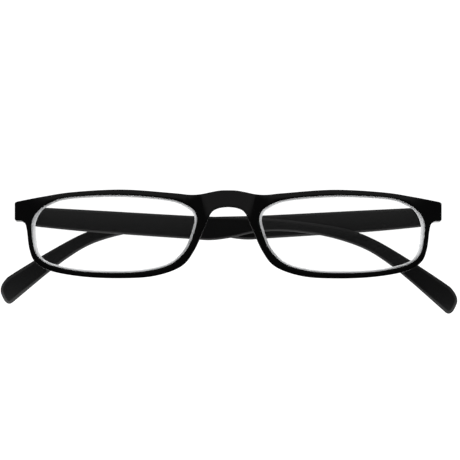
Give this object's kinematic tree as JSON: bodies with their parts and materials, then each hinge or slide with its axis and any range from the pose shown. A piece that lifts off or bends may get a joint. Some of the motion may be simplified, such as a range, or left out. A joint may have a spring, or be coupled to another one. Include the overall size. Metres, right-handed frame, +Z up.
{
  "type": "folding reading glasses",
  "caption": "Slim rectangular full-rim reading glasses with clear plus lenses, arched bridge and flat arms folded behind the front on sprung hinges.",
  "frame": {"origin": "midway between the lenses on their horizontal centre line, in the plane of the back of the bridge", "axes": "+X to the wearer's left, +Y back towards the wearer, +Z up; the front looks along -Y and the arms are folded behind it"},
  "size_m": [0.1492, 0.0211, 0.0402],
  "materials": {
    "front_plastic": "polished black",
    "arm_plastic": "fine satin black",
    "lens_resin": "clear, with a ground edge",
    "hinge_steel": "satin nickel plated",
    "spring_steel": "bright wire",
    "bush_brass": "turned"
  },
  "bodies": {
    "front": {"front_frame": "front_plastic", "right_lens": "lens_resin", "left_lens": "lens_resin", "right_hinge_leaf": "hinge_steel", "left_hinge_leaf": "hinge_steel", "right_hinge_screw": "hinge_steel", "left_hinge_screw": "hinge_steel"},
    "right_eyelet": {"right_hinge_eyelet": "hinge_steel", "right_spring_bush": "bush_brass", "right_hinge_spring": "spring_steel"},
    "right_arm": {"right_temple": "arm_plastic", "right_hinge_housing": "hinge_steel"},
    "left_eyelet": {"left_hinge_eyelet": "hinge_steel", "left_spring_bush": "bush_brass", "left_hinge_spring": "spring_steel"},
    "left_arm": {"left_temple": "arm_plastic", "left_hinge_housing": "hinge_steel"}
  },
  "joints": [
    {"name": "right_arm_fold", "type": "hinge", "parent": "front", "child": "right_eyelet", "pos_m": [-0.0647, 0.0103, 0.00595], "axis": [0, 0, 1], "range_deg": [0, 96.2]},
    {"name": "right_spring_pull", "type": "slide", "parent": "right_eyelet", "child": "right_arm", "axis": [0.9998, -0.0209, 0], "range_m": [0, 0.0015], "stiffness_N_per_m": 500, "springref_m": -0.003, "deforming": ["right_hinge_spring"]},
    {"name": "left_arm_fold", "type": "hinge", "parent": "front", "child": "left_eyelet", "pos_m": [0.0647, 0.0103, 0.00595], "axis": [0, 0, -1], "range_deg": [0, 93.8]},
    {"name": "left_spring_pull", "type": "slide", "parent": "left_eyelet", "child": "left_arm", "axis": [-0.9998, 0.0209, 0], "range_m": [0, 0.0015], "stiffness_N_per_m": 500, "springref_m": -0.003, "deforming": ["left_hinge_spring"]}
  ]
}
